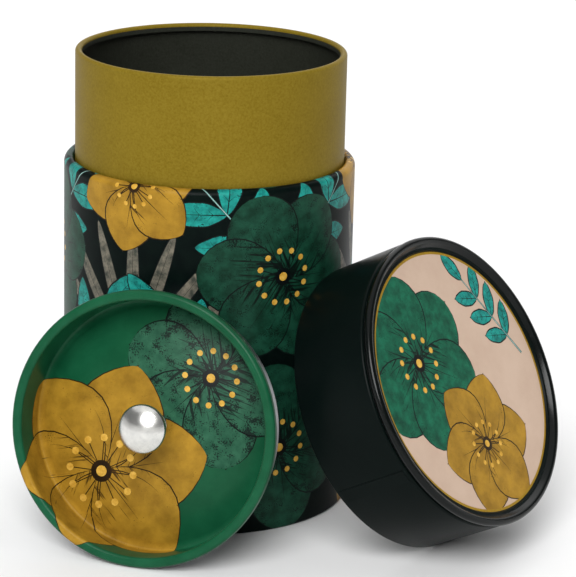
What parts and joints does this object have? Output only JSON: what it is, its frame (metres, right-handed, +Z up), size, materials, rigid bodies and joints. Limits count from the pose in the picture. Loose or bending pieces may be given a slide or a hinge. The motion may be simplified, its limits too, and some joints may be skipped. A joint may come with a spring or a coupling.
{
  "type": "tea caddy",
  "caption": "Round printed tinplate tea caddy shown open, with its gold inner canister, a knobbed inner lid and a slip-on outer lid leaning against the body.",
  "frame": {"origin": "centre of the flat underside of the caddy body's bottom panel, on the surface it stands on", "axes": "+Z up along the caddy's axis, -Y towards the front of the arrangement, +X towards the leaning outer lid"},
  "size_m": [0.1592, 0.1266, 0.1356],
  "materials": {
    "dark_print": "satin printed tinplate, black-green ground with a botanical print",
    "panel_print": "satin printed tinplate, pale pink-beige ground with green, teal and gold botanical print in a black-green bead",
    "green_print": "satin printed tinplate, leaf green ground with a gold and dark green botanical print",
    "gold_lacquer": "satin olive-gold lacquered tinplate",
    "bare_tinplate": "plain tinplate",
    "zinc_steel": "zinc-plated steel",
    "polished_steel": "polished"
  },
  "bodies": {
    "caddy_body": {"body_shell": "dark_print", "bottom_panel": "bare_tinplate", "canister_wall": "gold_lacquer", "canister_floor": "bare_tinplate"},
    "inner_lid": {"inner_lid_pan": "green_print", "inner_lid_knob": "polished_steel", "knob_washer": "zinc_steel", "knob_screw": "zinc_steel"},
    "outer_lid": {"outer_lid_band": "dark_print", "outer_lid_top": "panel_print"}
  },
  "joints": [
    {"name": "inner_lid_lift", "type": "slide", "parent": "caddy_body", "child": "inner_lid", "axis": [0, 0, 1], "range_m": [0, 0.12]},
    {"name": "outer_lid_lift", "type": "slide", "parent": "caddy_body", "child": "outer_lid", "axis": [0, 0, 1], "range_m": [0, 0.12]}
  ]
}
